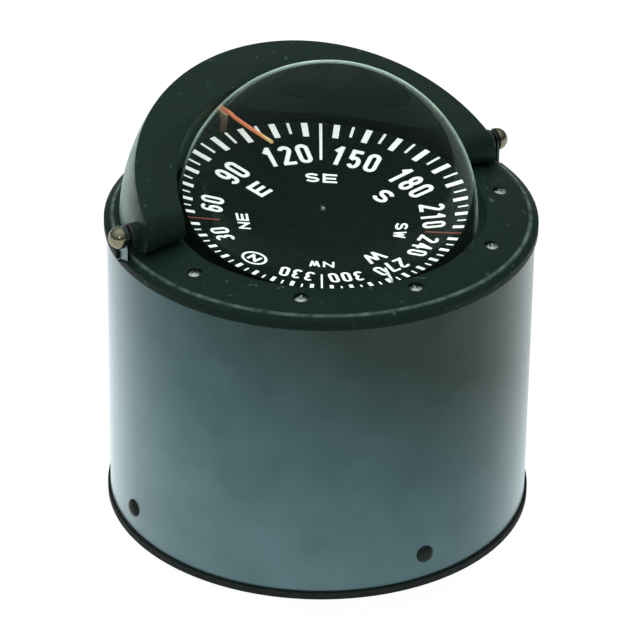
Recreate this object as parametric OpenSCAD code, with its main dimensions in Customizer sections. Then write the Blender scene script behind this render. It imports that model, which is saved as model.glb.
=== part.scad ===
// Binnacle-mount marine compass: liquid-filled dome compass in a steel tube,
// with a tilting hood on two thumb screws. Front (helm side) is -Y, bow side +Y,
// hinge axis along X, deck at z = 0. All sizes in millimetres.

/* [Binnacle tube] */
// Distance of the tube's outside from the circle of the bezel screws
tube_margin = 13.3; // [12:0.1:18]
// Sheet thickness of the tube
tube_wall = 1.2; // [0.8:0.1:2]
// Length of the tube without its hinge ears
tube_h = 129.7; // [115:0.1:170]
// Width of the two hinge ears that stand up from the tube
ear_w = 9; // [8:0.5:15]

/* [Base] */
// Thickness of the rubber gasket under the tube
gasket_t = 3; // [2:0.5:6]
// How far the gasket stands out past the tube
gasket_lip = 1.2; // [0.4:0.1:2]
// Floor thickness of the base plate
base_floor_t = 4; // [3:0.5:8]
// Height of the base plate's upright rim above its floor
base_rim_h = 18; // [16:0.5:26]
// Wall thickness of the upright rim
base_rim_w = 3.2; // [2.5:0.1:5]
// Diameter of the wiring opening in the base
base_open_d = 100; // [60:1:116]
// Circle diameter of the deck screws
deck_pcd = 140; // [134:1:150]
// Hole diameter for the deck screws
deck_hole_d = 5.5; // [4:0.1:7]
// Number of deck screws
deck_holes = 4; // [3:1:8]
// Height of the side screws above the deck
side_screw_z = 15; // [14:0.5:18]
// Head diameter of the side screws
side_head_d = 8; // [6:0.5:10]
// Height of the side screw heads
side_head_h = 1.8; // [1:0.1:2.5]
// Shank diameter of the side screws
side_shank_d = 4; // [3:0.5:5]

/* [Bezel] */
// How far the bezel stands out past the tube
bezel_lip = 1.3; // [0.5:0.1:3]
// Height of the bezel's upright edge
bezel_edge = 3.3; // [2:0.1:6]
// Width of the chamfer round the top
chamfer_w = 3.3; // [1:0.1:6]
// Height of the chamfer round the top
chamfer_h = 2; // [1:0.1:4]
// Slope of the top face, rising towards the dome
bezel_slope = 9.7; // [6:0.1:11]
// Width of the dark bevel round the dome
bevel_w = 3.6; // [1.5:0.1:4.5]
// Slope of that bevel
bevel_slope = 42; // [30:1:50]
// Depth of the skirt inside the tube
skirt_h = 12.8; // [8:0.1:20]
// Thickness of the skirt
skirt_w = 2.7; // [2:0.1:3]
// Number of bezel screws
bezel_screws_n = 10; // [6:1:12]
// Distance of the bezel screws' circle from the front of the dome's foot
screw_margin = 4; // [3.6:0.1:6]
// Head diameter of the bezel screws
bezel_head_d = 5.8; // [5:0.1:7]
// Shank diameter of the bezel screws
bezel_shank_d = 3; // [2.5:0.1:4]

/* [Dome and bowl] */
// Outer radius of the clear dome
dome_r = 64.5; // [60:0.5:66]
// Wall thickness of the dome
dome_wall = 3; // [2:0.1:4]
// Distance of the dome's centre in front of the tube's axis
dome_shift = 5; // [3:0.5:6]
// Straight wall between the dome's foot and its hemisphere
dome_neck = 2.5; // [2.5:0.1:5]
// Width of the dome's clamped foot
foot_w = 5.2; // [4:0.1:5.5]
// Thickness of the dome's foot
foot_t = 3; // [2:0.1:4]
// Wall thickness of the bowl
bowl_wall = 3; // [2:0.1:4]
// Thickness of the bowl's flange
flange_t = 4; // [3:0.1:6]
// Depth of the bowl's straight part under its flange
bowl_depth = 16.8; // [16:0.1:24]
// Diameter of the seal ring's section
seal_d = 2.4; // [1.8:0.1:2.8]

/* [Card and gimbal] */
// Distance of the card's edge from the dome's outside
card_margin = 18.5; // [17:0.1:24]
// Thickness of the card
card_t = 0.8; // [0.6:0.1:1.5]
// Depth of the gimbal's axes under the dome's centre
gimbal_drop = 12.3; // [11:0.1:15]
// Height of the card's face above the gimbal's axes
card_rise = 8; // [6:0.1:9]
// Lean of the hanging card unit in the case, in degrees
card_lean = 6; // [-15:0.5:15]
// Sideways place of the hanging card unit in the bowl
card_shift = -2.5; // [-2.5:0.1:2.5]
// Card heading under the lubber line at rest, in degrees
card_heading = 105; // [0:1:359]
// Height of the gimbal ring
ring_h = 5; // [4:0.1:7]
// Thickness of the gimbal ring
ring_w = 3; // [2.5:0.1:4]
// Diameter of the gimbal pins
pin_d = 3; // [2:0.1:3.4]
// Diameter of the brass counterweight
weight_d = 32; // [20:1:36]
// Height of the counterweight
weight_h = 13; // [8:0.5:16]
// Diameter of the lubber wires
wire_d = 1.2; // [1:0.1:2]
// Height of the lubber wire's corner above the card
wire_rise = 3; // [2:0.5:9]
// Slope of the lubber wire's pointer
wire_pitch = 17; // [0:1:20]
// Length of the lubber wire's pointer
wire_reach = 16; // [10:0.5:20]
// Length of the aft lubber wire's pointer
aft_reach = 7; // [4:0.5:12]

/* [Hood] */
// How far the hood's rounded outside stands in from the bezel's edge
hood_inset = 6.5; // [6:0.1:8]
// Wall thickness of the hood
hood_wall = 2.6; // [2:0.1:3]
// Tilt of the hood's flat face
hood_tilt = 25; // [20:0.5:28]
// Radius of the rounded nose round the hinge
nose_r = 10.9; // [10:0.1:12]
// Distance of the hinge axis behind the tube's axis
hinge_y = 7.8; // [6:0.1:9]
// Height of the hinge axis above the bezel's ridge
hinge_rise = 7.7; // [7.2:0.1:9]
// Highest lift of the hood in degrees
hood_lift = 12; // [10:1:28]
// Diameter of the thumb screws' heads
knob_d = 9.8; // [8:0.1:11]
// Distance of the ball's centre outside its seat
knob_rise = 0.6; // [0:0.1:2]
// Shank diameter of the thumb screws
knob_shank_d = 5; // [4:0.1:5.2]

/* [Compensator] */
// Diameter of the two adjuster rods
rod_d = 6; // [5:0.1:7]
// Height between the two adjuster rods' axes
rod_step = 8; // [7.5:0.1:10]
// Diameter of the compensator's body
comp_d = 38; // [34:1:38]

/* [Hidden] */
$fn = 96;

steel = "silver";
black = "#26302e";
rubber = "#1b1b1b";
brass = "#b5923f";

eps = 0.01;
big = 400;
slip = 0.05;
fit_gap = 0.2;

foot_r = dome_r + foot_w;
bezel_screw_r = foot_r + dome_shift + screw_margin;
tube_r = bezel_screw_r + tube_margin;
tube_in = tube_r - tube_wall;
tube_top = gasket_t + tube_h;
ear_r = ear_w / 2;
ear_hole_r = knob_shank_d / 2 + 0.15;

base_r = tube_in - fit_gap;
gasket_r = tube_r + gasket_lip;
gasket_in_r = base_open_d / 2;
side_boss_r = side_head_d / 2 + 2;
side_boss_l = 9;
deck_head_r = deck_hole_d / 2 + 2.4;

bezel_r = tube_r + bezel_lip;
ridge_r = bezel_r - chamfer_w;
ridge_z = tube_top + bezel_edge + chamfer_h;
skirt_r = tube_in - fit_gap;
bezel_floor = tube_top + 2.1;
bezel_head_t = 1.8;
head_sink = 1.5;
head_gap = 0.25;
screw_grip = 12;
grommet_r = 4;
grommet_az = 72;

compass_y = -dome_shift;
dome_in = dome_r - dome_wall;
foot_top = bezel_floor + foot_t;
dome_z = foot_top + dome_neck;
bevel_r = dome_r + 0.6;
bevel_z = foot_top + 0.6;
seal_r = dome_r + foot_w / 2;

bowl_r = dome_in + bowl_wall;
bowl_z = bezel_floor - bowl_depth;
flange_r = skirt_r - skirt_w - 0.3;
boss_r = bezel_shank_d / 2 + 2.2;
boss_l = 8;
seat_r = 28;
seat_z = bowl_z - bowl_r - 3;
seat_hole_r = 19;

card_r = dome_r - card_margin;
gimbal_z = dome_z - gimbal_drop;
card_z = gimbal_z + card_rise;
ring_out = dome_in - 4.4;
ring_in = ring_out - ring_w;
pin_r = pin_d / 2;
pin_boss_r = pin_r + 2;
ear_in = card_r + 0.4;
ear_t = 3.5;
ear_out = ear_in + ear_t;
cradle_w = 10;
hub_r = 8;
stem_r = 5;
stem_l = 3;
bar_t = 4;
bar_z = gimbal_z - 20;
pivot_tip_z = card_z - card_t - 1.8;
float_r = 15;
float_z = card_z - card_t - 9.4;
pocket_r = 5;
magnet_x = 18;
magnet_w = 4;
magnet_l = 36;
magnet_t = 3;
card_turn = card_heading + 90;

hinge_z = ridge_z + hinge_rise;
hood_r = bezel_r - hood_inset;
hood_z = ridge_z - 4;
rib_places = [0.175, 0.46, 0.71];
clear_depth = 60;
hood_gap = 0.4;
bore_gap = 3.2;
hood_bore_r = dome_r + bore_gap;
boss_face_x = tube_in - 2.2;
knob_boss_r = knob_shank_d / 2 + 2.6;
insert_r = knob_shank_d / 2 + 1;
insert_l = 10;
washer_t = 0.9;
saddle_x = tube_r + 0.4;
saddle_r = knob_shank_d / 2 + 1.3;
knob_seat_x = saddle_x + 0.1;
knob_in_x = boss_face_x - insert_l + 1;
lamp_r = 5;
lamp_l = 26;

rod_r = rod_d / 2;
rod_l = comp_d + 4;
diaphragm_t = 1.2;
cover_top = seat_z - diaphragm_t;
cover_t = 4.8;
well_d = 3;
small_screw_r = 1.5;
small_head_r = 2.7;
small_head_t = 2;
small_grip = 6;
magnet_r = 1.2;
cover_r = 27.5;
housing_screw_r = 23.5;
rod_x_z = cover_top - cover_t - 6;
rod_y_z = rod_x_z - rod_step;
housing_z = rod_y_z - rod_r - 2.5;
filler_z = bowl_z + 0.6;
filler_r = 4;
filler_head_r = 6.5;

function bezel_top(r) = ridge_z + (ridge_r - r) * tan(bezel_slope);

// The dome's centre in the hinge's own tilted frame, along the hood's face
hood_bore_y = (compass_y - hinge_y) * cos(hood_tilt) + (dome_z - hinge_z) * sin(hood_tilt);

// Puts its children at every place of a ring of n copies, the first at the front
module around(n, r) {
    for (i = [0:n - 1]) rotate([0, 0, -90 + i * 360 / n]) translate([r, 0, 0]) children();
}

// Plain ring between two radii, standing on z
module ring(r_out, r_in, h, z = 0) {
    translate([0, 0, z]) difference() {
        cylinder(r = r_out, h = h);
        translate([0, 0, -1]) cylinder(r = r_in, h = h + 2);
    }
}

// Cylinder along X from x0 to x1 at the height and depth of its frame
module rod_along_x(r, x0, x1) {
    translate([x0, 0, 0]) rotate([0, 90, 0]) cylinder(r = r, h = x1 - x0);
}

// Cylinder along Y from y0 to y1
module rod_along_y(r, y0, y1) {
    translate([0, y0, 0]) rotate([-90, 0, 0]) cylinder(r = r, h = y1 - y0);
}

// Places on the hinge axis, right side and mirrored left side
module hinge_ends() {
    for (side = [0, 1]) mirror([side, 0, 0]) translate([0, hinge_y, hinge_z]) children();
}

// Turns its children round the hood's hinge
module about_hinge(angle) {
    translate([0, hinge_y, hinge_z]) rotate([angle, 0, 0]) translate([0, -hinge_y, -hinge_z])
        children();
}

// The dome's centre line
module at_compass(z = 0) {
    translate([0, compass_y, z]) children();
}

// The same line in the card unit that hangs in the gimbal
module hanging(z = 0) {
    at_compass(gimbal_z) translate([card_shift, 0, 0]) rotate([card_lean, 0, 0])
        translate([0, 0, z - gimbal_z]) children();
}

// Flat rubber ring under the tube, with the deck screw holes
module base_gasket() {
    color(rubber) difference() {
        ring(gasket_r, gasket_in_r, gasket_t);
        around(deck_holes, deck_pcd / 2) translate([0, 0, -1])
            cylinder(d = deck_hole_d, h = gasket_t + 2);
    }
}

// Base plate: floor ring, upright rim and four bosses for the side screws
module base_plate() {
    color(black) difference() {
        union() {
            ring(base_r, gasket_in_r, base_floor_t, gasket_t);
            ring(base_r, base_r - base_rim_w, base_rim_h, gasket_t + eps);
            ring(gasket_in_r + 3, gasket_in_r, base_floor_t + 4, gasket_t);
            intersection() {
                around(4, 0) translate([base_r - side_boss_l, 0, side_screw_z])
                    rotate([0, 90, 0]) cylinder(r = side_boss_r, h = side_boss_l);
                cylinder(r = base_r, h = gasket_t + base_rim_h);
            }
        }
        around(4, 0) translate([base_r - side_boss_l - 1, 0, side_screw_z])
            rotate([0, 90, 0]) cylinder(d = side_shank_d, h = side_boss_l + 3);
        around(deck_holes, deck_pcd / 2) {
            translate([0, 0, gasket_t - 1]) cylinder(d = deck_hole_d, h = base_floor_t + 2);
            translate([0, 0, gasket_t + base_floor_t - 1.6])
                cylinder(r1 = deck_hole_d / 2, r2 = deck_head_r, h = 1.6 + eps);
        }
    }
}

// Four black screws with rounded heads, through the tube into the base plate
module side_screws() {
    color(rubber) around(4, 0) translate([0, 0, side_screw_z]) rotate([0, 90, 0]) union() {
        translate([0, 0, base_r - side_boss_l + 1])
            cylinder(d = side_shank_d, h = tube_r - base_r + side_boss_l - 0.5);
        rotate_extrude() difference() {
            translate([0, tube_r]) scale([1, side_head_h / (side_head_d / 2)])
                circle(d = side_head_d);
            translate([-big / 2, 0]) square([big, tube_r]);
            translate([-big, 0]) square([big, big]);
        }
    }
}

// Outline of a hinge ear, as seen along X
module ear_outline(grow = 0) {
    translate([hinge_y, hinge_z]) circle(r = ear_r + grow);
    translate([hinge_y - ear_r - grow, tube_top - 6])
        square([ear_w + 2 * grow, hinge_z - tube_top + 6]);
}

module ear_slab(grow = 0) {
    rotate([90, 0, 90]) linear_extrude(height = big, center = true) ear_outline(grow);
}

// Steel tube with two ears cut from the same sheet, one at each end of the hinge
module binnacle_tube() {
    color(steel) difference() {
        union() {
            ring(tube_r, tube_in, tube_h, gasket_t);
            intersection() {
                ring(tube_r, tube_in, hinge_z, 20);
                ear_slab();
            }
        }
        hinge_ends() rod_along_x(ear_hole_r, tube_in - 12, tube_r + 2);
        around(4, 0) translate([tube_in - 5, 0, side_screw_z])
            rotate([0, 90, 0]) cylinder(d = side_shank_d + 0.4, h = 10);
    }
}

// Moulded bezel: conical top, chamfered edge, skirt inside the tube and seat for the dome
module bezel_ring() {
    inner_r = bevel_r - dome_shift - 12;
    color(black) difference() {
        rotate_extrude() polygon([
            [inner_r, bezel_floor], [skirt_r - skirt_w, bezel_floor],
            [skirt_r - skirt_w, tube_top - skirt_h], [skirt_r, tube_top - skirt_h],
            [skirt_r, tube_top], [bezel_r, tube_top], [bezel_r, tube_top + bezel_edge],
            [ridge_r, ridge_z], [inner_r, bezel_top(inner_r)]
        ]);
        at_compass(bezel_floor - 1) cylinder(r = bevel_r, h = big);
        at_compass(bezel_floor - 1) cylinder(r = foot_r + 0.1, h = foot_t + 1);
        at_compass(bevel_z) cylinder(
            r1 = bevel_r, r2 = bevel_r + 3 * bevel_w, h = 3 * bevel_w * tan(bevel_slope));
        around(bezel_screws_n, bezel_screw_r) {
            translate([0, 0, tube_top]) cylinder(d = bezel_shank_d, h = 30);
            translate([0, 0, screw_seat_z()]) cylinder(r = bezel_head_d / 2 + head_gap, h = 30);
        }
        rotate([0, 0, grommet_az]) translate([bezel_screw_r, 0, tube_top])
            cylinder(r = grommet_r, h = 30);
        difference() {
            ear_slab(0.4);
            cylinder(r = skirt_r, h = big);
            intersection() {
                ring(bezel_r + 1, tube_r + 0.1, big);
                rotate([90, 0, 90]) linear_extrude(height = big, center = true) polygon([
                    [hinge_y - ear_r - 2, tube_top - 1], [hinge_y + ear_r, tube_top - 1],
                    [hinge_y + ear_r, tube_top], [hinge_y - ear_r - 0.4, tube_top + bezel_edge - 0.3],
                    [hinge_y - ear_r - 2, tube_top + bezel_edge - 0.3]
                ]);
            }
        }
    }
}

// Height at which the bezel screws' heads sit, below the conical face
function screw_seat_z() = bezel_top(bezel_screw_r) - head_sink;

// Ten sunk screws that clamp bezel, dome and bowl together
module bezel_screws() {
    color(steel) around(bezel_screws_n, bezel_screw_r) {
        translate([0, 0, screw_seat_z() - screw_grip])
            cylinder(d = bezel_shank_d, h = screw_grip + eps);
        translate([0, 0, screw_seat_z()]) difference() {
            rotate_extrude() intersection() {
                translate([0, bezel_head_t - bezel_head_d]) circle(r = bezel_head_d);
                square([bezel_head_d / 2, bezel_head_t]);
            }
            translate([0, 0, bezel_head_t]) cube([bezel_head_d * 0.6, 0.9, 2], center = true);
            translate([0, 0, bezel_head_t]) cube([0.9, bezel_head_d * 0.6, 2], center = true);
        }
    }
}

// Rubber grommet in the bezel under the hood, for the lamp's lead
module lead_grommet() {
    top = bezel_top(bezel_screw_r - grommet_r);
    color(rubber) rotate([0, 0, grommet_az]) translate([bezel_screw_r, 0, 0]) difference() {
        union() {
            translate([0, 0, bezel_floor]) cylinder(r = grommet_r, h = top - bezel_floor);
            translate([0, 0, top - eps]) cylinder(r1 = grommet_r + 0.6, r2 = grommet_r, h = 0.9);
        }
        translate([0, 0, bezel_floor - 1]) cylinder(r = 1.8, h = 20);
    }
}

// Clear dome: hemisphere, short neck and flat foot
module glass_dome() {
    color("lightblue", 0.35) at_compass() rotate_extrude() difference() {
        union() {
            translate([0, dome_z]) circle(r = dome_r);
            translate([0, bezel_floor]) square([dome_r, dome_z - bezel_floor]);
            translate([0, bezel_floor]) square([foot_r, foot_t]);
        }
        translate([0, dome_z]) circle(r = dome_in);
        translate([-1, bezel_floor - 1]) square([dome_in + 1, dome_z - bezel_floor + 1]);
        translate([-big, -big]) square([big, 3 * big]);
        translate([-1, bezel_floor - big]) square([big, big]);
    }
}

// Rubber ring in the bowl's groove, under the dome's foot
module dome_seal() {
    color(rubber) at_compass(bezel_floor - seal_d / 2) rotate_extrude()
        translate([seal_r, 0]) circle(d = seal_d);
}

// Bowl that holds the liquid: flange, screw bosses, round bottom and diaphragm seat
module compass_bowl() {
    color(black) difference() {
        union() {
            ring(flange_r, dome_in - 2, flange_t, bezel_floor - flange_t);
            around(bezel_screws_n, bezel_screw_r)
                translate([0, 0, bezel_floor - flange_t - boss_l])
                cylinder(r = boss_r, h = boss_l + eps);
            at_compass(bowl_z) cylinder(r = bowl_r, h = bowl_depth);
            at_compass(bowl_z) sphere(r = bowl_r);
            at_compass(seat_z) cylinder(r = seat_r, h = bowl_wall + 8);
            at_compass(filler_z) rod_along_y(filler_head_r + 1, bowl_r - 3, bowl_r + 4);
        }
        difference() {
            union() {
                at_compass(bowl_z) cylinder(r = dome_in, h = big);
                at_compass(bowl_z) sphere(r = dome_in);
            }
            at_compass(gimbal_z) translate([card_shift, 0, 0]) difference() {
                rod_along_x(pin_boss_r, -dome_r, dome_r);
                rod_along_x(pin_boss_r + 1, -ring_out - 0.6, ring_out + 0.6);
            }
        }
        at_compass(gimbal_z) rod_along_x(pin_r, -dome_in - 1.5, dome_in + 1.5);
        at_compass(seat_z - 1) cylinder(r = seat_hole_r, h = 30);
        at_compass(bezel_floor - seal_d) ring(seal_r + seal_d * 0.6, seal_r - seal_d * 0.6, 9);
        translate([0, 0, bezel_floor]) cylinder(r = tube_r, h = big);
        at_compass(filler_z) rod_along_y(filler_r, dome_in - 4, bowl_r + 6);
        around(bezel_screws_n, bezel_screw_r)
            translate([0, 0, screw_seat_z() - screw_grip - 1])
            cylinder(d = bezel_shank_d, h = screw_grip + 9);
        at_compass(seat_z) around(6, housing_screw_r) translate([0, 0, -1])
            cylinder(r = small_screw_r, h = small_grip + 1);
        rotate([0, 0, grommet_az]) translate([bezel_screw_r, 0, bezel_floor - 9])
            cylinder(r = grommet_r - 1, h = 12);
    }
}

// Two steel pins in the bowl's wall that carry the gimbal ring
module gimbal_pins() {
    color(steel) for (side = [0, 1]) mirror([side, 0, 0]) at_compass(gimbal_z)
        rod_along_x(pin_r, ring_in + 0.6 + (1 - 2 * side) * card_shift, dome_in + 1.5);
}

// Brass plug in the bowl's side
module filler_plug() {
    color(brass) at_compass(filler_z) difference() {
        union() {
            rod_along_y(filler_r, dome_in + 0.5, bowl_r + 5);
            rod_along_y(filler_head_r - 0.5, bowl_r + 5, bowl_r + 8);
        }
        translate([0, bowl_r + 8, 0]) cube([20, 3, 1.4], center = true);
    }
}

module filler_seal() {
    color(rubber) at_compass(filler_z) difference() {
        rod_along_y(filler_head_r, bowl_r + 4, bowl_r + 5);
        rod_along_y(filler_r, bowl_r + 3, bowl_r + 6);
    }
}

// Rubber diaphragm that takes up the liquid's swelling, with one round wave
module diaphragm() {
    wave_r = seat_hole_r - 5;
    color(rubber) at_compass(cover_top) difference() {
        rotate_extrude() difference() {
            union() {
                square([cover_r - 0.5, diaphragm_t]);
                translate([wave_r, diaphragm_t]) circle(r = 2.6);
            }
            translate([wave_r, diaphragm_t]) circle(r = 1.4);
            translate([wave_r - 3, diaphragm_t - 6 - eps]) square([6, 6 - diaphragm_t + eps]);
            translate([wave_r - 1.4, -eps]) square([2.8, diaphragm_t + 2 * eps]);
        }
        around(6, housing_screw_r) translate([0, 0, -1])
            cylinder(r = small_screw_r, h = diaphragm_t + 3);
    }
}

// Cover of the diaphragm, with the body that holds the two adjuster rods
module compensator_housing() {
    color(black) at_compass() difference() {
        union() {
            translate([0, 0, cover_top - cover_t]) cylinder(r = cover_r, h = cover_t);
            translate([0, 0, housing_z]) cylinder(d = comp_d, h = cover_top - housing_z - 1);
        }
        translate([0, 0, cover_top - well_d]) cylinder(r = seat_hole_r - 1, h = well_d + 1);
        translate([0, 0, rod_x_z]) rod_along_x(rod_r + slip, -big, big);
        translate([0, 0, rod_y_z]) rod_along_y(rod_r + slip, -big, big);
        around(6, housing_screw_r) translate([0, 0, cover_top - cover_t - 1])
            cylinder(r = small_screw_r, h = cover_t + 2);
    }
}

// Six small screws that clamp cover and diaphragm to the bowl
module housing_screws() {
    color(steel) at_compass() around(6, housing_screw_r) {
        translate([0, 0, cover_top - cover_t - eps])
            cylinder(r = small_screw_r, h = cover_t + diaphragm_t + small_grip);
        translate([0, 0, cover_top - cover_t - small_head_t])
            cylinder(r = small_head_r, h = small_head_t);
    }
}

// Slotted brass rod with a cross hole for its magnet
module adjuster_rod() {
    difference() {
        rod_along_x(rod_r, -rod_l / 2, rod_l / 2);
        rotate([90, 0, 0]) cylinder(r = magnet_r, h = 2 * rod_d, center = true);
        for (side = [-1, 1]) translate([side * rod_l / 2, 0, 0])
            cube([rod_r, 2 * rod_d, 1], center = true);
    }
}

module adjuster_magnet() {
    rotate([90, 0, 0]) cylinder(r = magnet_r, h = 2 * rod_r - 0.8, center = true);
}

module adjuster_rod_x() {
    color(brass) at_compass(rod_x_z) adjuster_rod();
}

module adjuster_magnet_x() {
    color("gray") at_compass(rod_x_z) adjuster_magnet();
}

module adjuster_rod_y() {
    color(brass) at_compass(rod_y_z) rotate([0, 0, 90]) adjuster_rod();
}

module adjuster_magnet_y() {
    color("gray") at_compass(rod_y_z) rotate([0, 0, 90]) adjuster_magnet();
}

// Gimbal ring: hangs on the bowl's pins and carries the cradle's pins on two inner bosses
module gimbal_ring() {
    color(black) hanging(gimbal_z) difference() {
        union() {
            ring(ring_out, ring_in, ring_h, -ring_h / 2);
            intersection() {
                for (turn = [0, 180]) rotate([0, 0, turn])
                    rod_along_y(pin_boss_r - 1, ear_out + 0.5, ring_out);
                cylinder(r = ring_out, h = 20, center = true);
            }
        }
        rod_along_x(pin_r + slip, -big, big);
        rod_along_y(pin_r, -big, big);
    }
}

// Two pins in the gimbal ring that carry the cradle
module cradle_pins() {
    color(steel) for (turn = [0, 180]) hanging(gimbal_z) rotate([0, 0, turn])
        rod_along_y(pin_r, ear_in + 0.6, ring_out - 0.4);
}

// Cradle: crossbar with two upright ears, a centre post and the stem of the weight
module pivot_cradle() {
    color(black) hanging() difference() {
        union() {
            translate([-cradle_w / 2, -ear_out, bar_z]) cube([cradle_w, 2 * ear_out, bar_t]);
            for (turn = [0, 180]) rotate([0, 0, turn]) {
                translate([-cradle_w / 2, ear_in, bar_z])
                    cube([cradle_w, ear_t, gimbal_z - bar_z]);
                translate([0, 0, gimbal_z]) rod_along_y(cradle_w / 2, ear_in, ear_out);
            }
            translate([0, 0, bar_z]) cylinder(r = hub_r, h = bar_t + 2);
            translate([0, 0, bar_z]) cylinder(r = 4, h = float_z - bar_z - 1.5);
            translate([0, 0, bar_z - stem_l]) cylinder(r = stem_r, h = stem_l + eps);
        }
        translate([0, 0, gimbal_z]) rod_along_y(pin_r + slip, -big, big);
        translate([0, 0, bar_z + bar_t]) cylinder(r = 1.2, h = 30);
        translate([0, 0, bar_z - 4]) cylinder(r = 2, h = bar_t + 3);
        for (turn = [0, 180]) rotate([0, 0, turn])
            translate([0, ear_in + ear_t / 2, gimbal_z + pin_r + 0.6]) cylinder(d = wire_d, h = 20);
    }
}

// Hard steel pivot with a fine point
module pivot_pin() {
    color(steel) hanging() union() {
        translate([0, 0, bar_z + bar_t]) cylinder(r = 1.2, h = pivot_tip_z - 2.5 - bar_z - bar_t);
        translate([0, 0, pivot_tip_z - 2.5 - eps]) cylinder(r1 = 1.2, r2 = 0.2, h = 2.5);
    }
}

// Brass weight under the cradle that keeps it level
module counterweight() {
    top = bar_z - stem_l;
    color(brass) hanging(top - weight_h) union() {
        rotate_extrude() polygon([
            [0, 0], [weight_d / 2 - 3, 0], [weight_d / 2, 3], [weight_d / 2, weight_h - 2],
            [weight_d / 2 - 2, weight_h], [0, weight_h]
        ]);
        translate([0, 0, weight_h - eps]) cylinder(r = 2, h = 5);
    }
}

// Wire riser from a cradle ear, soldered to a pointer over the card's rim
module lubber_form(reach) {
    wire_y = ear_in + ear_t / 2;
    corner_z = card_z + wire_rise;
    foot_z = gimbal_z + pin_r + 0.6;
    translate([0, wire_y, foot_z]) cylinder(d = wire_d, h = corner_z - foot_z);
    translate([0, wire_y, corner_z]) {
        sphere(d = wire_d * 1.3);
        rotate([90 - wire_pitch, 0, 0]) cylinder(d = wire_d, h = reach);
    }
}

// Lubber line on the bow side, which shows the course
module lubber_wire() {
    color("orangered") hanging() lubber_form(wire_reach);
}

// Short white lubber line on the helm side
module aft_lubber() {
    color("white") hanging() rotate([0, 0, 180]) lubber_form(aft_reach);
}

// Thin round card, read from above through the dome
module compass_card() {
    color("#15181a") hanging(card_z - card_t) cylinder(r = card_r, h = card_t);
}

// Hollow float under the card, open below for the pivot
module card_float() {
    depth = card_z - card_t - float_z;
    color(black) hanging(float_z) rotate_extrude() polygon([
        [pocket_r, 0], [pocket_r + 3, 0], [float_r, depth - 3], [float_r, depth], [0, depth],
        [0, depth - 0.6], [pocket_r, depth - 0.6]
    ]);
}

// Jewel bearing that runs on the pivot's point
module jewel_cup() {
    top = card_z - card_t - 0.6;
    color("crimson") hanging() difference() {
        translate([0, 0, top - 2.4]) cylinder(r = pocket_r, h = 2.4);
        translate([0, 0, top - 2.4 - eps])
            cylinder(r1 = 2, r2 = 0.4, h = pivot_tip_z + 0.1 - top + 2.4 + eps);
    }
}

// Two bar magnets under the card, along its north to south line
module card_magnets() {
    color("gray") hanging(card_z - card_t - magnet_t) rotate([0, 0, card_turn])
        for (side = [-1, 1]) translate([-magnet_l / 2, side * magnet_x - magnet_w / 2, 0])
            cube([magnet_l, magnet_w, magnet_t]);
}

// Space of the bezel's top and what lies under it, kept free by the hood
module bezel_clearance(gap) {
    rotate_extrude() polygon([
        [dome_r - 12, tube_top - clear_depth], [big, tube_top - clear_depth],
        [big, ridge_z + gap], [ridge_r, ridge_z + gap],
        [dome_r - 12, bezel_top(dome_r - 12) + gap]
    ]);
}

// Side outline of the hood in the hinge's tilted frame: round nose and flat face
module hood_outline(inset) {
    circle(r = nose_r - inset);
    translate([0, -big]) square([big, big + nose_r - inset]);
}

module in_hood_frame() {
    translate([0, hinge_y, hinge_z]) rotate([hood_tilt, 0, 0]) children();
}

// Solid hood form: rounded outside cut by the flat face
module hood_form(inset) {
    intersection() {
        translate([0, 0, hood_z]) sphere(r = hood_r - inset);
        in_hood_frame() rotate([90, 0, 90]) linear_extrude(height = 2 * big, center = true)
            hood_outline(inset);
    }
}

// What stays inside the hood's hollow: bore wall, hinge bosses and ribs
module hood_inside() {
    in_hood_frame() translate([0, hood_bore_y, -big / 2])
        cylinder(r = hood_bore_r + hood_wall, h = big);
    hinge_ends() rod_along_x(knob_boss_r, boss_face_x - insert_l - 3, boss_face_x);
    for (side = [-1, 1], part = rib_places)
        translate([side * part * hood_r - 1, 0, 0]) cube([2, big, big]);
}

// Moulded hood: double-walled shell, open below, with a round bore for the dome
module hood_shell() {
    color(black) difference() {
        union() {
            difference() {
                hood_form(0);
                difference() {
                    hood_form(hood_wall);
                    hood_inside();
                }
            }
            hinge_ends() rod_along_x(knob_boss_r, boss_face_x - insert_l, boss_face_x);
        }
        in_hood_frame() translate([0, hood_bore_y, -big / 2]) cylinder(r = hood_bore_r, h = big);
        hinge_ends() rod_along_x(insert_r, boss_face_x - insert_l, big);
        bezel_clearance(hood_gap);
        about_hinge(-hood_lift - 0.5) bezel_clearance(hood_gap);
        in_hood_frame() translate([0, hood_bore_y + hood_bore_r, nose_r - 8])
            cube([12, 12, 5], center = true);
    }
}

// Threaded brass inserts in the hood's hinge bosses
module hood_inserts() {
    color(brass) hinge_ends() difference() {
        rod_along_x(insert_r, boss_face_x - insert_l, boss_face_x);
        rod_along_x(knob_shank_d / 2 + slip, boss_face_x - insert_l - 1, boss_face_x + 1);
    }
}

// Nylon washers between the hood and the tube's ears
module hood_washers() {
    color("#3a3a3a") hinge_ends() difference() {
        rod_along_x(knob_boss_r, boss_face_x, boss_face_x + washer_t);
        rod_along_x(knob_shank_d / 2 + slip, boss_face_x - 1, boss_face_x + washer_t + 1);
    }
}

// Lamp holder under the hood's face, behind the dome
module lamp_holder() {
    color(rubber) in_hood_frame() translate([0, hood_bore_y + hood_bore_r + hood_wall + lamp_r + 1,
        nose_r - hood_wall - lamp_r]) difference() {
        rod_along_x(lamp_r, -lamp_l / 2, lamp_l / 2);
        rod_along_y(1.8, -big, big);
    }
}

module lamp() {
    color("red") in_hood_frame() translate([0, hood_bore_y + hood_bore_r + hood_wall + lamp_r + 1,
        nose_r - hood_wall - lamp_r]) rod_along_y(1.8, -lamp_r - 2, 3);
}

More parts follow.
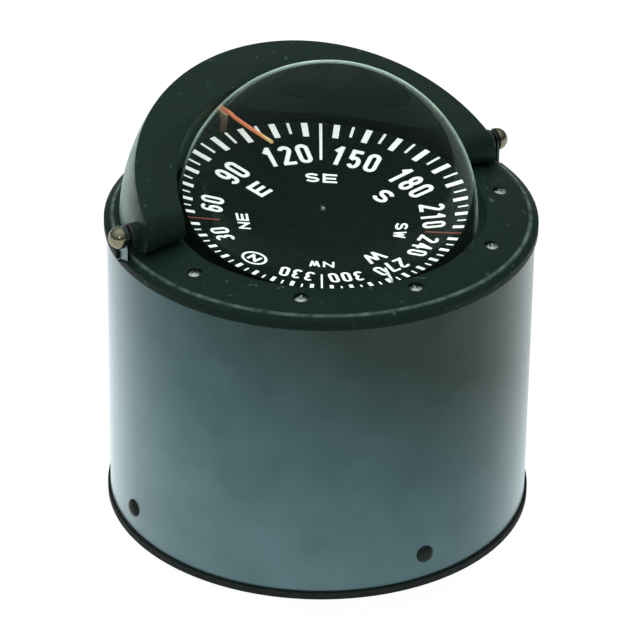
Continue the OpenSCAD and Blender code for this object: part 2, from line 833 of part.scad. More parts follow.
// Nylon washers that bed the thumb screws on the tube's round wall
module saddle_washers() {
    color("#3a3a3a") hinge_ends() difference() {
        rod_along_x(saddle_r, tube_in - 4, saddle_x);
        rod_along_x(knob_shank_d / 2 + 0.15, 0, big);
        translate([0, -hinge_y, -20]) cylinder(r = tube_r, h = 40, $fn = 360);
    }
}

// Thumb screw with a ball-shaped head
module knob_form() {
    translate([0, hinge_y, hinge_z]) {
        rod_along_x(knob_shank_d / 2, knob_in_x, knob_seat_x + eps);
        rotate([0, 90, 0]) translate([0, 0, knob_seat_x]) rotate_extrude() intersection() {
            translate([0, knob_rise]) circle(d = knob_d);
            square([knob_d, knob_d]);
        }
    }
}

module knob_right() {
    color(steel) knob_form();
}

module knob_left() {
    color(steel) mirror([1, 0, 0]) knob_form();
}

base_gasket();
base_plate();
side_screws();
binnacle_tube();
bezel_ring();
bezel_screws();
lead_grommet();
glass_dome();
dome_seal();
compass_bowl();
gimbal_pins();
filler_plug();
filler_seal();
diaphragm();
compensator_housing();
housing_screws();
adjuster_rod_x();
adjuster_magnet_x();
adjuster_rod_y();
adjuster_magnet_y();
gimbal_ring();
cradle_pins();
pivot_cradle();
pivot_pin();
counterweight();
lubber_wire();
aft_lubber();
compass_card();
card_float();
jewel_cup();
card_magnets();
hood_shell();
hood_inserts();
hood_washers();
lamp_holder();
lamp();
saddle_washers();
knob_left();
knob_right();
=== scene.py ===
import math

import bmesh
import bpy
from mathutils import Matrix, Vector


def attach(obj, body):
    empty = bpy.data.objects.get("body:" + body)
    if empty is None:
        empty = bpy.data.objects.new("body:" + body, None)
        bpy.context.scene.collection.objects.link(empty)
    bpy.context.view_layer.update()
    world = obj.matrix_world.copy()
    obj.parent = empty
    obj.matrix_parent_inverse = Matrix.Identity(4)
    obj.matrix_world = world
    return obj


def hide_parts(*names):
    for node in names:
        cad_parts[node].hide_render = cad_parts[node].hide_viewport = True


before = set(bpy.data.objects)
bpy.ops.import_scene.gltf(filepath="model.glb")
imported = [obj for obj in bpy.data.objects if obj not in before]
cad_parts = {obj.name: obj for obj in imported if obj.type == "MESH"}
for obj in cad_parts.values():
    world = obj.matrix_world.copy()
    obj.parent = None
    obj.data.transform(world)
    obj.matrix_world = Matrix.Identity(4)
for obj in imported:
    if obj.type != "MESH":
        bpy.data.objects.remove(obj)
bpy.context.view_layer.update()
MM = 0.001

# --- Studio -----------------------------------------------------------------
# A long lens looks down on the compass from the helm side, a little from the left.
# The light is a soft sky that grows brighter overhead, and one wide softbox above and behind.


def node(tree, kind, inputs=None, **settings):
    """Adds a node to a tree, with its settings and with values or links on its inputs."""
    made = tree.nodes.new("ShaderNode" + kind)
    for name, value in settings.items():
        setattr(made, name, value)
    for name, value in (inputs or {}).items():
        if isinstance(value, bpy.types.NodeSocket):
            tree.links.new(value, made.inputs[name])
        else:
            made.inputs[name].default_value = value
    return made


def colour(code):
    """Linear colour of an sRGB hex code such as "1a211f"."""
    parts = [int(code[i:i + 2], 16) / 255 for i in (0, 2, 4)]
    return tuple(p / 12.92 if p <= 0.04045 else ((p + 0.055) / 1.055) ** 2.4 for p in parts) + (1,)


def new_material(name):
    """An empty node material and its tree."""
    material = bpy.data.materials.new(name)
    material.use_nodes = True
    material.node_tree.nodes.clear()
    return material, material.node_tree


def show(tree, shader):
    """Links a shader to the material's output."""
    node(tree, "OutputMaterial", {"Surface": shader.outputs[0]})


camera_data = bpy.data.cameras.new("camera")
camera_data.lens = 4132 / 640 * 36
camera_data.clip_end = 20
camera = bpy.data.objects.new("camera", camera_data)
bpy.context.scene.collection.objects.link(camera)
bpy.context.scene.camera = camera
CAMERA_TURN, CAMERA_RISE, CAMERA_ROLL = math.radians(30.26), math.radians(30.22), math.radians(0.83)
across = Vector((math.cos(CAMERA_TURN), -math.sin(CAMERA_TURN), 0))
level = Vector((math.sin(CAMERA_TURN), math.cos(CAMERA_TURN), 0))
forward = level * math.cos(CAMERA_RISE) - Vector((0, 0, math.sin(CAMERA_RISE)))
upward = across.cross(forward)
aim = across * 0.1 * MM + Vector((0, 0, 83.64 * MM))
right = across * math.cos(CAMERA_ROLL) + upward * math.sin(CAMERA_ROLL)
above = upward * math.cos(CAMERA_ROLL) - across * math.sin(CAMERA_ROLL)
camera.matrix_world = Matrix.Translation(aim - forward * 1.8) @ Matrix(
    (right, above, -forward)).transposed().to_4x4()

world = bpy.data.worlds.new("studio")
bpy.context.scene.world = world
world.use_nodes = True
sky = world.node_tree
sky.nodes.clear()
direction = node(sky, "TexCoord")
height = node(sky, "SeparateXYZ", {"Vector": direction.outputs["Generated"]})
rise = node(sky, "Math", {0: height.outputs["Z"], 1: 0.0}, operation="MAXIMUM")
bow = node(sky, "Math", {0: rise.outputs[0], 1: 2.0}, operation="POWER")
brightness = node(sky, "Math", {0: bow.outputs[0], 1: 0.95, 2: 0.14}, operation="MULTIPLY_ADD")
side = node(sky, "VectorMath", {0: direction.outputs["Generated"], 1: -across}, operation="DOT_PRODUCT")
lean = node(sky, "Math", {0: side.outputs["Value"], 1: 0.35, 2: 1.0}, operation="MULTIPLY_ADD")
total = node(sky, "Math", {0: brightness.outputs[0], 1: lean.outputs[0]}, operation="MULTIPLY")
glow = node(sky, "Background", {"Color": colour("f8fcff"), "Strength": total.outputs[0]})
node(sky, "OutputWorld", {"Surface": glow.outputs[0]})

lamp_data = bpy.data.lights.new("softbox", "AREA")
lamp_data.shape = "RECTANGLE"
lamp_data.size, lamp_data.size_y = 1.7, 1.3
lamp_data.energy = 18
softbox = bpy.data.objects.new("softbox", lamp_data)
bpy.context.scene.collection.objects.link(softbox)
softbox.location = (0.5, 0.8, 1.45)
softbox.visible_glossy = False
softbox.visible_transmission = False
softbox.rotation_euler = (-softbox.location).to_track_quat("-Z", "Y").to_euler()

spark_data = bpy.data.lights.new("spark", "AREA")
spark_data.size = 0.07
spark_data.energy = 1.1
spark = bpy.data.objects.new("spark", spark_data)
bpy.context.scene.collection.objects.link(spark)
spark.location = aim - forward * 1.45 - across * 0.08 + upward * 0.05
spark.rotation_euler = (aim - spark.location).to_track_quat("-Z", "Y").to_euler()

bpy.ops.object.select_all(action="DESELECT")
bpy.ops.mesh.primitive_plane_add(size=14, location=(0, 0, 0))
floor = bpy.context.object
floor.name = "floor"
paper, tree = new_material("white_backdrop_paper")
seen = node(tree, "LightPath")
direct = node(tree, "Math", {0: seen.outputs["Is Camera Ray"], 1: seen.outputs["Is Glossy Ray"]}, operation="MAXIMUM")
shown = node(tree, "Math", {0: direct.outputs[0], 1: seen.outputs["Is Transmission Ray"]}, operation="MAXIMUM")
share = node(tree, "Math", {0: shown.outputs[0], 1: 0.92}, operation="MULTIPLY")
matt = node(tree, "BsdfDiffuse", {"Color": colour("f6f6f6")})
lit = node(tree, "Emission", {"Color": (1, 1, 1, 1), "Strength": 1.04})
show(tree, node(tree, "MixShader", {0: share.outputs[0], 1: matt.outputs[0], 2: lit.outputs[0]}))
floor.data.materials.append(paper)
bpy.context.scene.view_settings.view_transform = "Standard"

# --- Base gasket --------------------------------------------------------------
# Flat ring of black EPDM rubber, die-cut from sheet, pressed between tube and deck.


def dress(material, *names):
    """Gives CAD nodes their finish."""
    for name in names:
        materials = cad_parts[name].data.materials
        materials.clear()
        materials.append(material)


def speckle(tree, size_mm, low, high, detail=4.0):
    """A value between low and high that varies over the surface in patches of a real size."""
    place = node(tree, "TexCoord")
    noise = node(tree, "TexNoise", {
        "Vector": place.outputs["Object"], "Scale": 1000 / size_mm, "Detail": detail})
    return node(tree, "MapRange", {
        "Value": noise.outputs["Fac"], "From Min": 0.3, "From Max": 0.7,
        "To Min": low, "To Max": high}).outputs["Result"]


epdm, tree = new_material("epdm_rubber")
# matt black with a faint bloom, so its roughness varies in patches of about 3 mm
show(tree, node(tree, "BsdfPrincipled", {
    "Base Color": colour("18201e"), "Roughness": speckle(tree, 3, 0.66, 0.86),
    "Specular IOR Level": 0.3}))
dress(epdm, "base_gasket")

# --- Base plate ---------------------------------------------------------------
# Injection-moulded black ABS, screwed down first; the tube slips over its rim.
satin_abs, tree = new_material("satin_moulded_abs")
# fine spark-eroded grain of 0.3 mm, drawn at 0.9 mm so that it shows
grain = node(tree, "TexNoise", {
    "Vector": node(tree, "TexCoord").outputs["Object"], "Scale": 1000 / 0.9, "Detail": 3.0})
relief = node(tree, "Bump", {"Height": grain.outputs["Fac"], "Strength": 0.12, "Distance": 0.0001})
show(tree, node(tree, "BsdfPrincipled", {
    "Base Color": colour("182721"), "Roughness": speckle(tree, 7, 0.42, 0.52),
    "Specular IOR Level": 0.11, "Normal": relief.outputs["Normal"]}))
dress(satin_abs, "base_plate")

# --- Side screws --------------------------------------------------------------
# Four M4 screws of blackened steel with rounded heads, through the tube into the base plate.
black_oxide, tree = new_material("black_oxide_steel")
show(tree, node(tree, "BsdfPrincipled", {
    "Base Color": colour("1a2522"), "Metallic": 0.3, "Roughness": speckle(tree, 1.5, 0.35, 0.55),
    "Specular IOR Level": 0.2}))
dress(black_oxide, "side_screws")

# --- Steel tube ---------------------------------------------------------------
# Stainless sheet rolled and welded to a tube, ground round its girth and then polished.
ground_steel, tree = new_material("ground_stainless_steel")
# grinding lines of 0.1 mm run round the tube, drawn 0.8 mm apart so that they show
place = node(tree, "TexCoord")
stretched = node(tree, "Mapping", {
    "Vector": place.outputs["Object"], "Scale": (12, 12, 1000 / 0.8)})
lines = node(tree, "TexNoise", {"Vector": stretched.outputs[0], "Scale": 1.0, "Detail": 3.0})
polish = node(tree, "MapRange", {"Value": lines.outputs["Fac"], "To Min": 0.27, "To Max": 0.37})
scratch = node(tree, "Bump", {"Height": lines.outputs["Fac"], "Strength": 0.05, "Distance": 0.00005})
# its colour holds a painted reflection and shade: a dim room, darker towards the top and the right, and a bright one
# painted at its limbs
slant = Vector((0, 0, 1)) + across * 0.6
slope = node(tree, "VectorMath", {0: place.outputs["Object"], 1: slant / 0.135}, operation="DOT_PRODUCT")
painted_reflection = node(tree, "ValToRGB", {"Fac": slope.outputs["Value"]})
ramp = painted_reflection.color_ramp
ramp.elements[0].color = colour("5b767a")
ramp.elements[1].color = colour("323f3b")
middle = ramp.elements.new(0.5)
middle.color = colour("486164")
edge = node(tree, "LayerWeight", {"Blend": 0.5})
turn = node(tree, "Math", {0: edge.outputs["Facing"], 1: 4.0}, operation="POWER")
depth = node(tree, "MapRange", {"Value": slope.outputs["Value"], "To Min": 1.4, "To Max": 0.5})
painted_limb_light = node(tree, "Math", {0: turn.outputs[0], 1: depth.outputs["Result"]}, operation="MULTIPLY")
# handling and salt leave it cloudy in patches of about 20 mm
cloudy = node(tree, "VectorMath", {
    0: painted_reflection.outputs["Color"], "Scale": speckle(tree, 20, 0.9, 1.1, 6.0)}, operation="SCALE")
tint = node(tree, "Mix", {
    "Factor": painted_limb_light.outputs[0], "A": cloudy.outputs["Vector"], "B": colour("d2ebf0")}, data_type="RGBA")
show(tree, node(tree, "BsdfPrincipled", {
    "Base Color": tint.outputs["Result"], "Metallic": 1.0, "Roughness": polish.outputs["Result"],
    "Normal": scratch.outputs["Normal"]}))
dress(ground_steel, "binnacle_tube")

# --- Bezel --------------------------------------------------------------------
# Moulded ring of black satin ABS with a chamfered edge, which clamps dome and bowl together.


def rounded_copy(name, piece, width_mm, segments=3):
    """A copy of a CAD node with its edges rounded, as a mould leaves them."""
    bpy.ops.object.select_all(action="DESELECT")
    made = bpy.data.objects.new(piece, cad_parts[name].data.copy())
    bpy.context.scene.collection.objects.link(made)
    bpy.context.view_layer.objects.active = made
    made.select_set(True)
    bpy.ops.object.mode_set(mode="EDIT")
    bpy.ops.mesh.select_all(action="SELECT")
    bpy.ops.mesh.customdata_custom_splitnormals_clear()
    bpy.ops.mesh.remove_doubles(threshold=2e-6)
    bpy.ops.mesh.dissolve_limited(angle_limit=math.radians(0.3))
    bpy.ops.object.mode_set(mode="OBJECT")
    soften = made.modifiers.new("soften", "BEVEL")
    soften.width = width_mm * MM
    soften.segments = segments
    soften.limit_method = "ANGLE"
    soften.angle_limit = math.radians(28)
    soften.use_clamp_overlap = True
    bpy.ops.object.modifier_apply(modifier="soften")
    bpy.ops.object.shade_smooth_by_angle(angle=math.radians(40))
    return made


def dusty(tree, skin):
    """A skin with grains of grey dust on it, 1 to 2 mm wide and some 10 mm apart."""
    grains = node(tree, "TexNoise", {
        "Vector": node(tree, "TexCoord").outputs["Object"], "Scale": 1000 / 4.0, "Detail": 5.0})
    share = node(tree, "MapRange", {
        "Value": grains.outputs["Fac"], "From Min": 0.65, "From Max": 0.78, "To Min": 0.0, "To Max": 0.36})
    return node(tree, "Mix", {
        "Factor": share.outputs["Result"], "A": skin, "B": colour("7f938b")},
        data_type="RGBA").outputs["Result"]


bezel_abs, tree = new_material("satin_abs_painted_ridge_highlight")
grain = node(tree, "TexNoise", {
    "Vector": node(tree, "TexCoord").outputs["Object"], "Scale": 1000 / 0.9, "Detail": 3.0})
relief = node(tree, "Bump", {"Height": grain.outputs["Fac"], "Strength": 0.12, "Distance": 0.0001})
# a lighter, broken line 2 mm wide along the ridge at 90 mm from the axis is a painted highlight
radial = node(tree, "VectorMath", {
    0: node(tree, "TexCoord").outputs["Object"], 1: (1, 1, 0)}, operation="MULTIPLY")
reach = node(tree, "VectorMath", {0: radial.outputs[0]}, operation="LENGTH")
away = node(tree, "Math", {0: reach.outputs["Value"], 1: 0.0898}, operation="SUBTRACT")
apart = node(tree, "Math", {0: away.outputs[0]}, operation="ABSOLUTE")
painted_ridge_highlight = node(tree, "MapRange", {
    "Value": apart.outputs[0], "From Min": 0.0, "From Max": 0.0012, "To Min": 1.0, "To Max": 0.0})
patchy_ridge_highlight = node(tree, "Math", {0: painted_ridge_highlight.outputs["Result"], 1: speckle(tree, 5, 0.1, 1.0)}, operation="MULTIPLY")
skin = node(tree, "Mix", {
    "Factor": patchy_ridge_highlight.outputs[0], "A": colour("182721"), "B": colour("6b8077")}, data_type="RGBA")
show(tree, node(tree, "BsdfPrincipled", {
    "Base Color": dusty(tree, skin.outputs["Result"]), "Roughness": speckle(tree, 7, 0.42, 0.52),
    "Specular IOR Level": 0.08, "Specular Tint": colour("b4e6cf"),
    "Normal": relief.outputs["Normal"]}))
bezel = rounded_copy("bezel_ring", "bezel_moulding", 0.5)
bezel.data.materials.clear()
bezel.data.materials.append(bezel_abs)
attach(bezel, "binnacle")
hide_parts("bezel_ring")

# --- Bezel screws and grommet ---------------------------------------------------
# Ten stainless screws, sunk in the bezel; the grommet is soft rubber.
screw_steel, tree = new_material("stainless_screw_steel")
show(tree, node(tree, "BsdfPrincipled", {
    "Base Color": colour("b4bab7"), "Metallic": 1.0, "Roughness": speckle(tree, 1.2, 0.15, 0.28)}))
dress(screw_steel, "bezel_screws")
dress(epdm, "lead_grommet", "dome_seal", "filler_seal", "diaphragm")

# --- Bowl ---------------------------------------------------------------------
# Moulded black bowl that holds the liquid, painted matt inside so that only the card shows.
bowl_paint, tree = new_material("matt_bowl_paint")
show(tree, node(tree, "BsdfPrincipled", {
    "Base Color": colour("364840"), "Roughness": speckle(tree, 3, 0.6, 0.8),
    "Specular IOR Level": 0.1}))
dress(bowl_paint, "compass_bowl")
dress(satin_abs, "compensator_housing")

# --- Pins, plug and small screws -------------------------------------------------
# Turned stainless pins and screws, and a turned brass plug that closes the filling hole.
turned_steel, tree = new_material("turned_stainless_steel")
show(tree, node(tree, "BsdfPrincipled", {
    "Base Color": colour("b9bcbd"), "Metallic": 1.0, "Roughness": speckle(tree, 0.8, 0.2, 0.34)}))
dress(turned_steel, "gimbal_pins", "cradle_pins", "pivot_pin", "housing_screws")
turned_brass, tree = new_material("turned_brass")
show(tree, node(tree, "BsdfPrincipled", {
    "Base Color": colour("c9a257"), "Metallic": 1.0, "Roughness": speckle(tree, 1.0, 0.24, 0.42)}))
dress(turned_brass, "filler_plug", "adjuster_rod_x", "adjuster_rod_y", "counterweight", "hood_inserts")
alloy, tree = new_material("cast_magnet_alloy")
show(tree, node(tree, "BsdfPrincipled", {
    "Base Color": colour("6a6a6c"), "Metallic": 1.0, "Roughness": speckle(tree, 0.8, 0.45, 0.65)}))
dress(alloy, "adjuster_magnet_x", "adjuster_magnet_y", "card_magnets")

# --- Gimbal and cradle ------------------------------------------------------------
# Moulded black ring and cradle, matt so that they don't glint under the card.


def faded(tree, plain_code, painted_light_code):
    """Plastic lightened on the side towards the reader's left, as painted light that lifts the shade there."""
    place = node(tree, "TexCoord")
    side = node(tree, "VectorMath", {
        0: place.outputs["Object"], 1: (-0.9, -0.44, 0)}, operation="DOT_PRODUCT")
    share = node(tree, "MapRange", {
        "Value": side.outputs["Value"], "From Min": 0.025, "From Max": 0.05})
    return node(tree, "Mix", {
        "Factor": share.outputs["Result"], "A": colour(plain_code), "B": colour(painted_light_code)},
        data_type="RGBA").outputs["Result"]


matt_black, tree = new_material("matt_black_moulding")
# lighter on the side towards the reader's left, as painted light
show(tree, node(tree, "BsdfPrincipled", {
    "Base Color": faded(tree, "1f2f28", "3d5047"), "Roughness": speckle(tree, 2.5, 0.55, 0.75),
    "Specular IOR Level": 0.1}))
dress(matt_black, "gimbal_ring", "pivot_cradle", "card_float")

# --- Lubber line ------------------------------------------------------------------
# Brass wires bent over the card's rim: the fore one brushed with orange enamel, the aft one white; both glow a little,
# as painted light.
enamel, tree = new_material("orange_enamel_painted_glow")
# the colour runs by height: dull brown along the riser, pale on the bend, orange along the pointer and pale at the
# wire's highest end
place = node(tree, "SeparateXYZ", {"Vector": node(tree, "TexCoord").outputs["Object"]})
rise = node(tree, "MapRange", {"Value": place.outputs["Z"], "From Min": 0.1400, "From Max": 0.1466})
coat = node(tree, "ValToRGB", {"Fac": rise.outputs["Result"]})
coat.color_ramp.elements[0].color = colour("6f5a4b")
coat.color_ramp.elements[1].color = colour("f3d08e")
for at, code in ((0.38, "84705f"), (0.46, "f0d3a0"), (0.55, "ff9468"), (0.9, "ff9468")):
    stop = coat.color_ramp.elements.new(at)
    stop.color = colour(code)
# the enamel's colours also glow a little, as painted light
show(tree, node(tree, "BsdfPrincipled", {
    "Base Color": coat.outputs["Color"], "Roughness": speckle(tree, 0.7, 0.3, 0.5),
    "Emission Color": coat.outputs["Color"], "Emission Strength": 0.2}))
white_enamel, tree = new_material("white_enamel")
# it glows a little, as painted light
show(tree, node(tree, "BsdfPrincipled", {
    "Base Color": colour("f4f6f2"), "Roughness": speckle(tree, 0.7, 0.3, 0.5),
    "Emission Color": colour("f4fffa"), "Emission Strength": 0.3}))


def bent_wire(name, side, reach, material, replaced):
    """A round wire that stands on the cradle's ear and bends over the card's rim."""
    bpy.ops.object.select_all(action="DESELECT")
    bpy.ops.curve.primitive_bezier_curve_add()
    wire = bpy.context.object
    wire.name = name
    wire.data.splines.clear()
    pitch = math.radians(17)
    corner = [(48.15 - 1.3 * (1 - math.cos(t)), 9.9 + 1.3 * math.sin(t))
              for t in [i * math.radians(107) / 8 for i in range(9)]]
    y, z = corner[-1]
    path = [(48.15, 2.2)] + corner + [(y - reach * math.cos(pitch), z + reach * math.sin(pitch))]
    line = wire.data.splines.new("POLY")
    line.points.add(len(path) - 1)
    for point, (y, z) in zip(line.points, path):
        point.co = (2.8 * MM, side * y * MM, z * MM, 1)
    wire.data.dimensions = "3D"
    wire.data.bevel_depth = 0.5 * MM
    wire.data.bevel_resolution = 5
    wire.data.use_fill_caps = True
    bpy.ops.object.convert(target="MESH")
    wire.data.transform(HANG)
    wire.data.materials.append(material)
    bpy.ops.object.shade_smooth_by_angle(angle=math.radians(50))
    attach(wire, "cradle")
    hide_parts(replaced)


HANG = Matrix.Translation((-0.0025, -0.005, 0.128)) @ Matrix.Rotation(math.radians(6), 4, "X")
bent_wire("lubber_line", 1, 14.5, enamel, "lubber_wire")
bent_wire("aft_lubber_line", -1, 5.5, white_enamel, "aft_lubber")
ruby, tree = new_material("synthetic_ruby")
show(tree, node(tree, "BsdfPrincipled", {
    "Base Color": colour("b0123a"), "Roughness": 0.05, "IOR": 1.76, "Transmission Weight": 0.7}))
dress(ruby, "jewel_cup")

# --- Compass card -----------------------------------------------------------------
# Thin aluminium disc, sprayed matt black, with its scale screen printed in white enamel.
card_black, tree = new_material("matt_black_card_paint")
show(tree, node(tree, "BsdfPrincipled", {
    "Base Color": colour("0d1a15"), "Roughness": speckle(tree, 4, 0.6, 0.8),
    "Specular IOR Level": 0.1}))
dress(card_black, "compass_card")
print_white, tree = new_material("screen_printed_white")
# the ink also glows a little, as painted light, so that it stays clear under the oil
show(tree, node(tree, "BsdfPrincipled", {
    "Base Color": colour("fdfffc"), "Roughness": speckle(tree, 0.8, 0.5, 0.7),
    "Emission Color": colour("f4fffa"), "Emission Strength": 0.3}))
print_red, tree = new_material("screen_printed_red")
show(tree, node(tree, "BsdfPrincipled", {
    "Base Color": colour("8f4a42"), "Roughness": speckle(tree, 0.8, 0.5, 0.7)}))

CARD_RISE = 8.0
HEADING = 105
PRINT = 0.1


def on_card(angle, radius):
    """Place of a mark's centre on the card: its top points to the rim."""
    spin = math.radians(HEADING + 90 - angle)
    return (HANG @ Matrix.Rotation(spin, 4, "Z") @ Matrix.Translation((radius * MM, 0, CARD_RISE * MM))
            @ Matrix.Rotation(-math.pi / 2, 4, "Z"))


def bar(angle, inner, outer, width):
    """A printed bar along the card's radius."""
    bpy.ops.mesh.primitive_cube_add(size=1)
    made = bpy.context.object
    made.data.transform(on_card(angle, (inner + outer) / 2)
                        @ Matrix.Diagonal((width * MM, (outer - inner) * MM, 2 * PRINT * MM, 1)))
    return made


def arc(x, y, across, tall, start, end):
    """Points along part of an ellipse, in degrees."""
    steps = max(2, round(abs(end - start) / 18))
    return [(x + across * math.cos(math.radians(start + (end - start) * i / steps)),
             y + tall * math.sin(math.radians(start + (end - start) * i / steps)))
            for i in range(steps + 1)]


def glyph(sign, q, f, e):
    """Centre lines of a sign in a box of two by two units.

    q is the height of a round end, f and e are half a stroke's width across and up.
    """
    six = [arc(0, 1 - q, 1, q, 20, 180) + arc(0, -0.42, 1, 0.58, 180, 550)]
    return {
        "0": [arc(0, 1 - q, 1, q, 0, 180) + arc(0, q - 1, 1, q, 180, 360) + [(1, 1 - q), (0.99, 1 - q / 2)]],
        "1": [[(0.3, 1 + e), (0.3, -1 - e)], [(-0.8, 0.5), (0.4, 0.9 + e)]],
        "2": [arc(0, 1 - q, 1, q, 170, -25) + [(-1, 0.25 * e - 1)], [(-1 - f, -1), (1 + f, -1)]],
        "3": [arc(0, 0.51, 0.9, 0.49, 150, -90), arc(0, -0.49, 1, 0.51, 90, -150)],
        "4": [[(0.45, 1 + e), (0.45, -1 - e)], [(-1 - f / 2, -0.4), (1 + f, -0.4)],
              [(-1, -0.4), (0.45, 1)]],
        "5": [[(-0.85 - f, 1), (0.9 + f / 2, 1)], [(-0.85, 1), (-0.95, 0)],
              arc(0, -0.4, 1, 0.6, 150, -150)],
        "6": six,
        "7": [[(-1 - f, 1), (1 + f / 2, 1)], [(1, 1), (-0.3, -1 - e)]],
        "8": [arc(0, 0.51, 0.88, 0.49, 0, 370), arc(0, -0.47, 1, 0.53, 0, 370)],
        "9": [[(-x, -y) for x, y in six[0]]],
        "N": [[(-1, -1 - e), (-1, 1 + e)], [(1, -1 - e), (1, 1 + e)], [(-1, 1), (1, -1)]],
        "E": [[(-1, -1 - e), (-1, 1 + e)], [(-1, 1), (1 + f, 1)], [(-1, 0), (0.8 + f, 0)],
              [(-1, -1), (1 + f, -1)]],
        "S": [arc(0, 0.5, 0.95, 0.5, 25, 270) + arc(0, -0.5, 1, 0.5, 80, -155)],
        "W": [[(-1, 1 + e), (-0.5, -1)], [(-0.5, -1 - e), (0, 0.9)], [(0, 0.9), (0.5, -1 - e)],
              [(0.5, -1), (1, 1 + e)]],
    }[sign]


def lettering(words, angle, radius, height, width, gap, stroke):
    """Printed signs of a height, width and gap in mm, each drawn with strokes of one width."""
    bpy.ops.curve.primitive_bezier_curve_add()
    made = bpy.context.object
    made.data.splines.clear()
    half_x, half_y = (width - stroke) / 2, (height - stroke) / 2
    for index, sign in enumerate(words):
        middle = (index - (len(words) - 1) / 2) * (width + gap)
        for path in glyph(sign, half_x / half_y, stroke / 2 / half_x, stroke / 2 / half_y):
            line = made.data.splines.new("POLY")
            line.points.add(len(path) - 1)
            for point, (x, y) in zip(line.points, path):
                point.co = (middle + x * half_x, y * half_y, 0, 1)
    made.data.dimensions = "3D"
    made.data.bevel_depth = stroke / 2
    made.data.bevel_resolution = 2
    made.data.use_fill_caps = True
    bpy.ops.object.convert(target="MESH")
    made.data.transform(on_card(angle, radius) @ Matrix.Diagonal((MM, MM, 2 * PRINT * MM / stroke, 1)))
    return made


def joined(name, objects, material):
    """Joins pieces of print to one mesh."""
    bpy.ops.object.select_all(action="DESELECT")
    for each in objects:
        each.select_set(True)
    bpy.context.view_layer.objects.active = objects[0]
    bpy.ops.object.join()
    made = bpy.context.object
    made.name = name
    made.data.materials.clear()
    made.data.materials.append(material)
    return made


bpy.ops.object.select_all(action="DESELECT")
marks = []
for angle in range(0, 360, 5):
    if angle % 90 == 45:
        if angle in (135, 315):
            marks.append(bar(angle, 32.4, 45.6, 0.7))
    elif angle % 10 == 0:
        marks.append(bar(angle, 41.2, 45.6, 1.5))
    else:
        marks.append(bar(angle, 42.2, 45.6, 0.65))
for angle in range(30, 360, 30):
    marks.append(lettering(str(angle), angle, 34.4, 7.5, 3.6, 1.05, 1.25))
for words, angle, width in (("E", 90, 5.0), ("S", 180, 5.0), ("W", 270, 8.0)):
    marks.append(lettering(words, angle, 24.9, 6.1, width, 0, 1.25))
for words, angle in (("NE", 45), ("SE", 135), ("SW", 225), ("NW", 315)):
    marks.append(lettering(words, angle, 24.5, 4.0, 4.0, 0.85, 0.85))
marks.append(lettering("N", 0, 33.6, 4.6, 4.2, 0, 1.1))
bpy.ops.mesh.primitive_torus_add(major_radius=4.3 * MM, minor_radius=0.5 * MM, major_segments=48, minor_segments=8)
ring = bpy.context.object
ring.data.transform(on_card(0, 33.6) @ Matrix.Diagonal((1, 1, 0.2, 1)))
marks.append(ring)
white_print = joined("card_print_white", marks, print_white)
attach(white_print, "card")
bpy.ops.object.select_all(action="DESELECT")
red_print = joined("card_print_red", [bar(angle, 32.4, 45.6, 0.7) for angle in (45, 225)], print_red)
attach(red_print, "card")

# --- Dome ---------------------------------------------------------------------
# Clear moulded acrylic dome, filled to the top with a light oil that magnifies the card.
DOME_R, DOME_Z, DOME_Y, SEAT_Z = 64.5, 140.3, -5.0, 134.8
BOWL_IN, BOWL_Z = 62.4, 118.0
bpy.ops.object.select_all(action="DESELECT")
outline = [(DOME_R * math.sin(math.radians(a)), DOME_Z + DOME_R * math.cos(math.radians(a)))
           for a in [i * 90 / 48 for i in range(49)]]
outline += [(DOME_R, SEAT_Z), (BOWL_IN, SEAT_Z), (BOWL_IN, BOWL_Z)]
outline += [(BOWL_IN * math.cos(math.radians(a)), BOWL_Z - BOWL_IN * math.sin(math.radians(a)))
            for a in [i * 90 / 24 for i in range(1, 25)]]
mesh = bpy.data.meshes.new("dome_with_liquid")
mesh.from_pydata([(r * MM, 0, z * MM) for r, z in outline],
                 [(i, i + 1) for i in range(len(outline) - 1)], [])
dome = bpy.data.objects.new("dome_with_liquid", mesh)
bpy.context.scene.collection.objects.link(dome)
bpy.context.view_layer.objects.active = dome
dome.select_set(True)
bpy.ops.object.mode_set(mode="EDIT")
bpy.ops.mesh.select_all(action="SELECT")
bpy.ops.mesh.spin(steps=192, angle=2 * math.pi, center=(0, 0, 0), axis=(0, 0, 1))
bpy.ops.mesh.select_all(action="SELECT")
bpy.ops.mesh.remove_doubles(threshold=1e-6)
bpy.ops.mesh.normals_make_consistent(inside=False)
bpy.ops.object.mode_set(mode="OBJECT")
dome.data.transform(Matrix.Translation((0, DOME_Y * MM, 0)))
bpy.ops.object.shade_smooth_by_angle(angle=math.radians(30))
clear, tree = new_material("clear_acrylic_over_oil")
rays = node(tree, "LightPath")
passing = node(tree, "Math", {0: rays.outputs["Is Shadow Ray"], 1: rays.outputs["Is Diffuse Ray"]}, operation="MAXIMUM")
skim = node(tree, "LayerWeight", {"Blend": 0.5})
veil = node(tree, "Math", {0: skim.outputs["Facing"], 1: 2.0}, operation="POWER")
faint = node(tree, "Math", {0: veil.outputs[0], 1: 0.09, 2: 0.003}, operation="MULTIPLY_ADD")
thin = node(tree, "Math", {0: skim.outputs["Facing"], 1: 14.0}, operation="POWER")
sheen = node(tree, "Math", {0: thin.outputs[0], 1: 0.85, 2: faint.outputs[0]}, operation="MULTIPLY_ADD")
bent = node(tree, "BsdfRefraction", {"Color": colour("fbfffc"), "Roughness": 0.0, "IOR": 1.39})
mirror = node(tree, "BsdfAnisotropic", {"Color": colour("e6fff2"), "Roughness": 0.05})
clean = node(tree, "MixShader", {0: sheen.outputs[0], 1: bent.outputs[0], 2: mirror.outputs[0]})
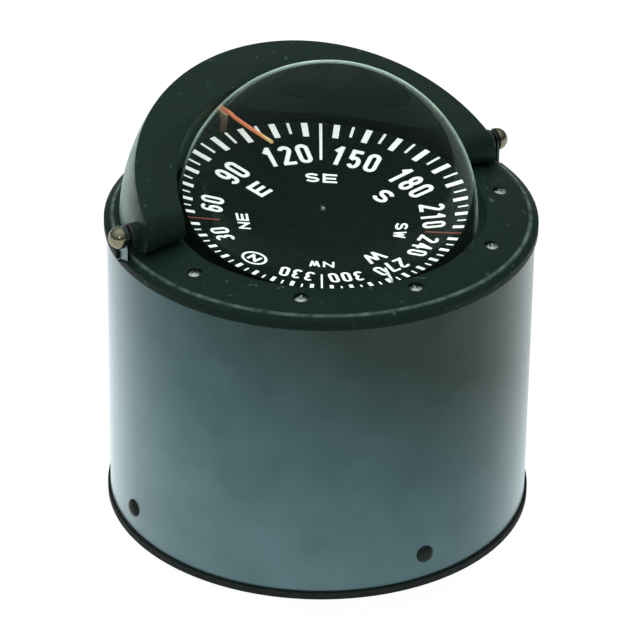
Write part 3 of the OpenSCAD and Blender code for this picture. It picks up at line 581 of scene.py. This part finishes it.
# painted highlight: a pale diffuse film, in patches, mixed in where the wall is seen edge on, brightest in a thin line
# at the rim
line = node(tree, "MapRange", {
    "Value": skim.outputs["Facing"], "From Min": 0.78, "From Max": 0.9, "To Min": 0.0, "To Max": 0.7})
painted_rim_film = node(tree, "Math", {0: veil.outputs[0], 1: 0.055, 2: line.outputs["Result"]}, operation="MULTIPLY_ADD")
broken = node(tree, "Math", {0: painted_rim_film.outputs[0], 1: speckle(tree, 9, 0.4, 1.0, 8.0)}, operation="MULTIPLY")
painted_haze = node(tree, "BsdfDiffuse", {"Color": colour("d0f4e2")})
glass = node(tree, "MixShader", {0: broken.outputs[0], 1: clean.outputs[0], 2: painted_haze.outputs[0]})
through = node(tree, "BsdfTransparent", {"Color": colour("fbfffc")})
show(tree, node(tree, "MixShader", {0: passing.outputs[0], 1: glass.outputs[0], 2: through.outputs[0]}))
dome.data.materials.append(clear)
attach(dome, "binnacle")
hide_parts("glass_dome")

# --- Hood ---------------------------------------------------------------------
# Double-walled moulding of black ABS with a soft gloss, which tilts over the dome on two screws.
gloss_abs, tree = new_material("gloss_moulded_abs")
grain = node(tree, "TexNoise", {
    "Vector": node(tree, "TexCoord").outputs["Object"], "Scale": 1000 / 1.2, "Detail": 3.0})
relief = node(tree, "Bump", {"Height": grain.outputs["Fac"], "Strength": 0.08, "Distance": 0.0001})
# the moulded skin is dull seen square on and glossy along its curved sides, where its colour is also lightened towards
# grazing as a painted sheen
edge = node(tree, "LayerWeight", {"Blend": 0.5})
shine = node(tree, "MapRange", {
    "Value": edge.outputs["Facing"], "From Min": 0.45, "From Max": 0.8, "To Min": 0.1, "To Max": 0.9})
bloom = node(tree, "MapRange", {
    "Value": edge.outputs["Facing"], "From Min": 0.6, "From Max": 0.9, "To Min": 0.0, "To Max": 0.6})
skin = node(tree, "Mix", {
    "Factor": bloom.outputs["Result"], "A": colour("1c2b23"), "B": colour("86b3a4")}, data_type="RGBA")
show(tree, node(tree, "BsdfPrincipled", {
    "Base Color": dusty(tree, skin.outputs["Result"]), "Roughness": speckle(tree, 9, 0.3, 0.4),
    "Specular IOR Level": shine.outputs["Result"], "Specular Tint": colour("bdf2da"),
    "Normal": relief.outputs["Normal"]}))
hood = rounded_copy("hood_shell", "hood_moulding", 0.5)
hood.data.materials.clear()
hood.data.materials.append(gloss_abs)
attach(hood, "hood")
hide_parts("hood_shell")

# --- Lamp, washers -----------------------------------------------------------------
# The lamp's rubber holder with its red lens, and the black nylon washers.
lens, tree = new_material("red_moulded_lens")
show(tree, node(tree, "BsdfPrincipled", {
    "Base Color": colour("a51f1c"), "Roughness": speckle(tree, 0.8, 0.15, 0.3)}))
dress(lens, "lamp")
dress(epdm, "lamp_holder")
nylon, tree = new_material("black_nylon")
show(tree, node(tree, "BsdfPrincipled", {
    "Base Color": colour("252927"), "Roughness": speckle(tree, 1.2, 0.4, 0.55)}))
dress(nylon, "hood_washers", "saddle_washers")

# --- Thumb screws -------------------------------------------------------------------
# Turned brass screws with ball heads, chromium plated, that clamp the hood to the tube's ears.
chrome, tree = new_material("chromium_plate")
show(tree, node(tree, "BsdfPrincipled", {
    "Base Color": colour("86856c"), "Metallic": 1.0, "Roughness": speckle(tree, 2.0, 0.16, 0.22)}))
dress(chrome, "knob_left", "knob_right")
